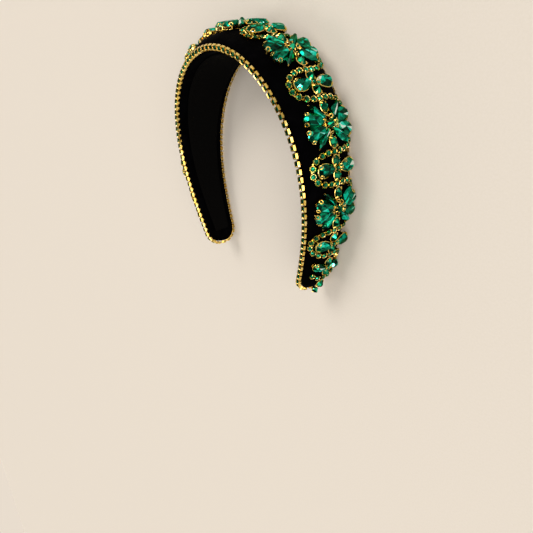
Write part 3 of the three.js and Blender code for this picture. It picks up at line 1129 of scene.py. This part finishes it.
def makeTip(side, name, nodeName):
    settings, stones = bmesh.new(), newStoneMesh()
    turn = tipForm["toFront"] if side > 0 else math.pi - tipForm["toFront"]
    oval, end = tipForm["oval"], tipForm["round"]
    middle, stiff = oval["from"] + oval["length"] / 2, tipForm["stiff"]
    ovalFrame = faceFrame(side * lastCrossing, turn, middle, -0.3, stiff)
    addCup(settings, stones, ovalFrame, "oval", oval["length"], oval["width"], 1)
    addWire(settings, ovalFrame, "oval", oval["length"], oval["width"])
    addProngs(settings, ovalFrame, oval["length"], oval["width"], (42, 138, 222, 318))
    endFrame = faceFrame(side * lastCrossing, turn, end["from"], 0, stiff)
    addCup(settings, stones, endFrame, "oval", end["width"], end["width"], 1)
    addProngs(settings, endFrame, end["width"], end["width"], (45, 135, 225, 315))
    finishPiece(f"{name}Setting", settings, [gold], [nodeName], sharp=0.7)
    finishPiece(f"{name}Gems", stones, [emerald, darkEmerald])


makeTip(1, "tipRight", "tip_stones_right")
makeTip(-1, "tipLeft", "tip_stones_left")
print("tip stones made")


# floor, light and camera
studio = {
    "floor": "#E2DFDB",
    "backdrop": "#E9DDCE",
    "floorSize": 40.0,
    "lamp": "#FFF6EA",
    "cameraAt": (-0.24386, -0.0583, 0.19806),
    "cameraUp": (0.3209, -0.9115, -0.2574),
    "cameraBack": (-0.7195, -0.4113, 0.5596),
    "lens": 31.53,
    "lights": [  # far softboxes: how wide each looks in radians, and its strength
        {"name": "keyLight", "toward": (0.25, -0.8, 1.0), "angle": 0.55, "strength": 1.2},
        {"name": "fillLight", "toward": (-0.9, -0.05, 0.75), "angle": 0.95, "strength": 1.95},
        {"name": "topLight", "toward": (0.35, 0.35, 1.2), "angle": 0.3, "strength": 0.35},
    ],
    "world": (1.0, 0.15),
}


def makeFloor():
    material, tree, shader, coords = newMaterial("palePaperBackdrop")  # matt rolled studio paper
    fibre = addNode(
        tree, "ShaderNodeTexNoise", {"Scale": 900.0, "Detail": 4.0}, {"Vector": coords.outputs["Object"]}
    )
    shade = addRamp(tree, fibre.outputs["Fac"], [(0.3, "#DFDCD7"), (0.7, studio["floor"])])
    tree.links.new(shade, shader.inputs["Base Color"])
    setShader(shader, Roughness=0.9, Specular_IOR_Level=0.2)
    bm = bmesh.new()
    bmesh.ops.create_grid(bm, x_segments=1, y_segments=1, size=studio["floorSize"])
    mesh = toMesh(bm, "floor")
    mesh.materials.append(material)
    floor = bpy.data.objects.new("floor", mesh)
    scene.collection.objects.link(floor)
    floor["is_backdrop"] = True


def makeLights():
    for light in studio["lights"]:
        lamp = bpy.data.lights.new(light["name"], "SUN")
        lamp.angle = light["angle"]
        lamp.energy = light["strength"]
        lamp.color = colour(studio["lamp"])[:3]
        lampObject = bpy.data.objects.new(light["name"], lamp)
        lampObject.rotation_euler = Vector(light["toward"]).to_track_quat("Z", "Y").to_euler()
        scene.collection.objects.link(lampObject)
    world = bpy.data.worlds.new("studio")
    world.use_nodes = True
    tree = world.node_tree
    background = tree.nodes["Background"]
    background.inputs["Color"].default_value = colour(studio["backdrop"])
    direction = addNode(tree, "ShaderNodeTexCoord")
    height = addNode(tree, "ShaderNodeSeparateXYZ", links={"Vector": direction.outputs["Generated"]})
    low, high = studio["world"]  # brighter at the horizon than overhead
    strength = addNode(
        tree,
        "ShaderNodeMapRange",
        {"From Min": 0.45, "From Max": 0.6, "To Min": low, "To Max": high},
        {"Value": height.outputs["Z"]},
    )
    tree.links.new(strength.outputs[0], background.inputs["Strength"])
    scene.world = world


def makeCamera():
    back = Vector(studio["cameraBack"]).normalized()
    right = Vector(studio["cameraUp"]).cross(back).normalized()
    up = back.cross(right)
    lens = bpy.data.cameras.new("camera")
    lens.sensor_width = 36
    lens.lens = studio["lens"]
    lens.clip_start = 0.01
    camera = bpy.data.objects.new("camera", lens)
    camera.matrix_world = frameOf(right, up, back, Vector(studio["cameraAt"]))
    scene.collection.objects.link(camera)
    scene.camera = camera


makeFloor()
makeLights()
makeCamera()
scene.view_settings.view_transform = "Standard"
print("floor, light and camera made")

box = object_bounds()
text = [[list(map(float, corner)) for corner in ends] for ends in (cadBox, box)]
